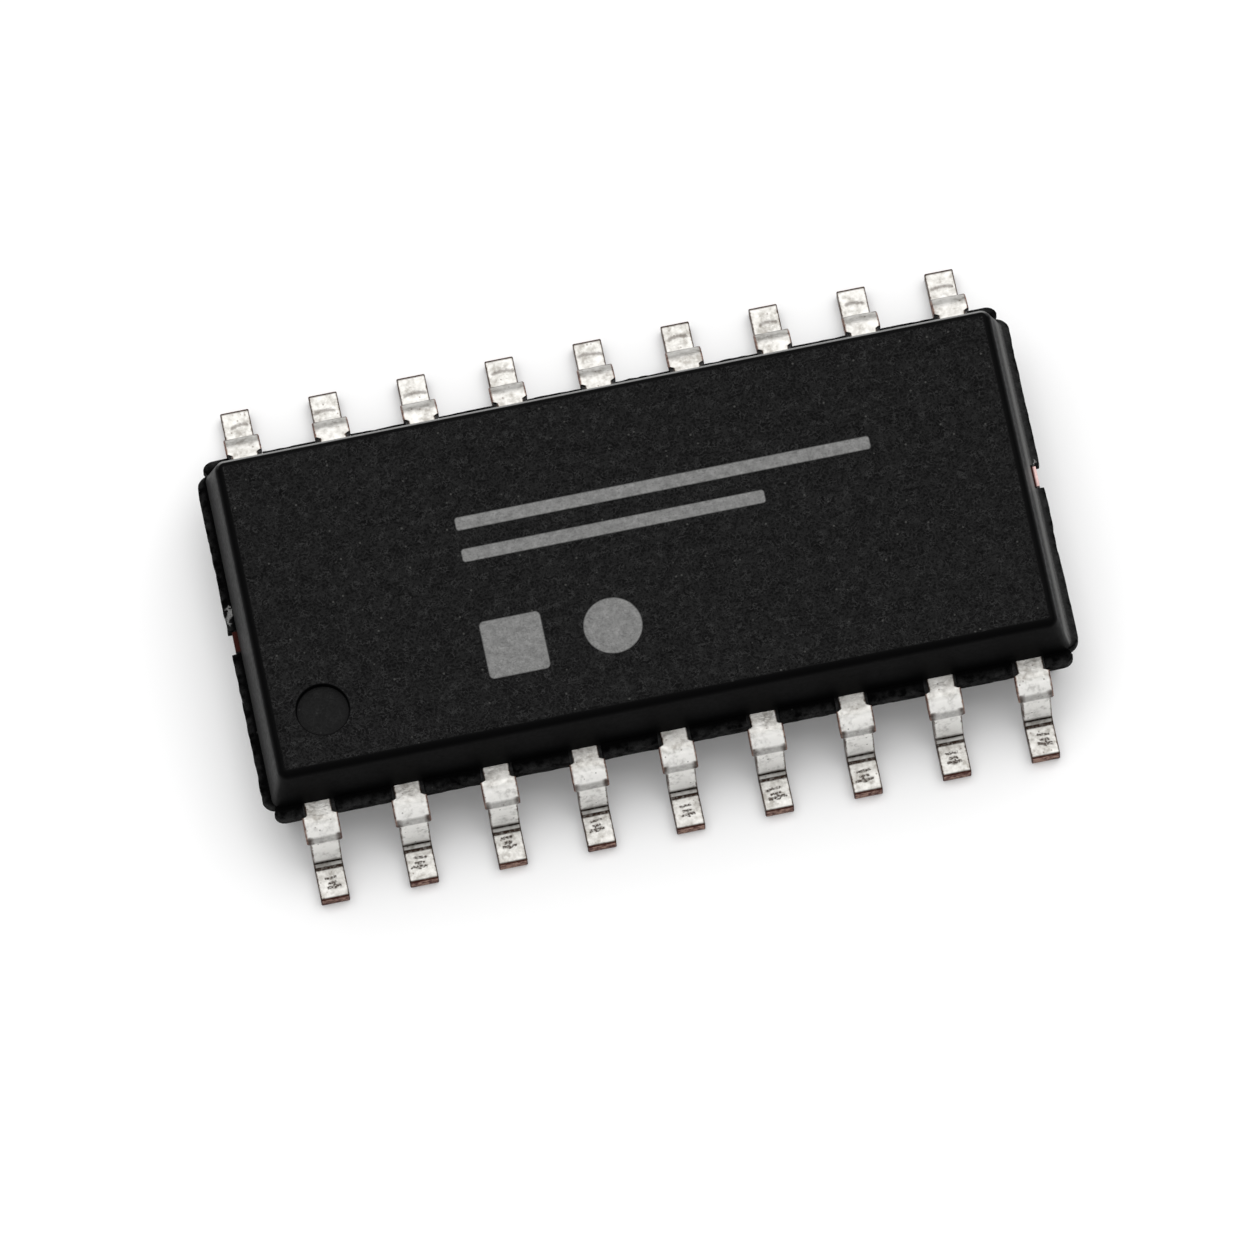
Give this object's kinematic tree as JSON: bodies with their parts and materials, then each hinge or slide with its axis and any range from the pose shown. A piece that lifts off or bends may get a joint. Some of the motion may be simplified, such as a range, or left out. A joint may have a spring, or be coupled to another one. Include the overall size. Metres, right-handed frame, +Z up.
{
  "type": "integrated circuit",
  "caption": "Small-outline integrated circuit: black moulded block with gull-wing leads along both long sides, a pin-one dimple, and a die with bond wires inside.",
  "frame": {"origin": "on the seating plane that the feet rest on, under the middle of the body", "axes": "+X along the body away from the pin-one end, +Y towards the row of the higher pin numbers, +Z up out of the marked face"},
  "size_m": [0.0116, 0.0074, 0.0019],
  "materials": {
    "molding_compound": "fine-grained matte black epoxy moulding compound",
    "tin_plate": "bright matte tin plate over stamped copper alloy",
    "bare_copper": "bare stamped copper, dulled at the cut ends",
    "adhesive": "silver-filled die-attach epoxy",
    "silicon": "polished silicon",
    "gold_wire": "bright drawn wire"
  },
  "bodies": {
    "root": {"molded_body": "molding_compound", "die_pad": "bare_copper", "die_attach": "adhesive", "silicon_die": "silicon", "lead_01": "tin_plate", "lead_02": "tin_plate", "lead_03": "tin_plate", "lead_04": "tin_plate", "lead_05": "tin_plate", "lead_06": "tin_plate", "lead_07": "tin_plate", "lead_08": "tin_plate", "lead_09": "tin_plate", "lead_10": "tin_plate", "lead_11": "tin_plate", "lead_12": "tin_plate", "lead_13": "tin_plate", "lead_14": "tin_plate", "lead_15": "tin_plate", "lead_16": "tin_plate", "lead_17": "tin_plate", "lead_18": "tin_plate", "bond_wire_01": "gold_wire", "bond_wire_02": "gold_wire", "bond_wire_03": "gold_wire", "bond_wire_04": "gold_wire", "bond_wire_05": "gold_wire", "bond_wire_06": "gold_wire", "bond_wire_07": "gold_wire", "bond_wire_08": "gold_wire", "bond_wire_09": "gold_wire", "bond_wire_10": "gold_wire", "bond_wire_11": "gold_wire", "bond_wire_12": "gold_wire", "bond_wire_13": "gold_wire", "bond_wire_14": "gold_wire", "bond_wire_15": "gold_wire", "bond_wire_16": "gold_wire", "bond_wire_17": "gold_wire", "bond_wire_18": "gold_wire"}
  },
  "joints": []
}
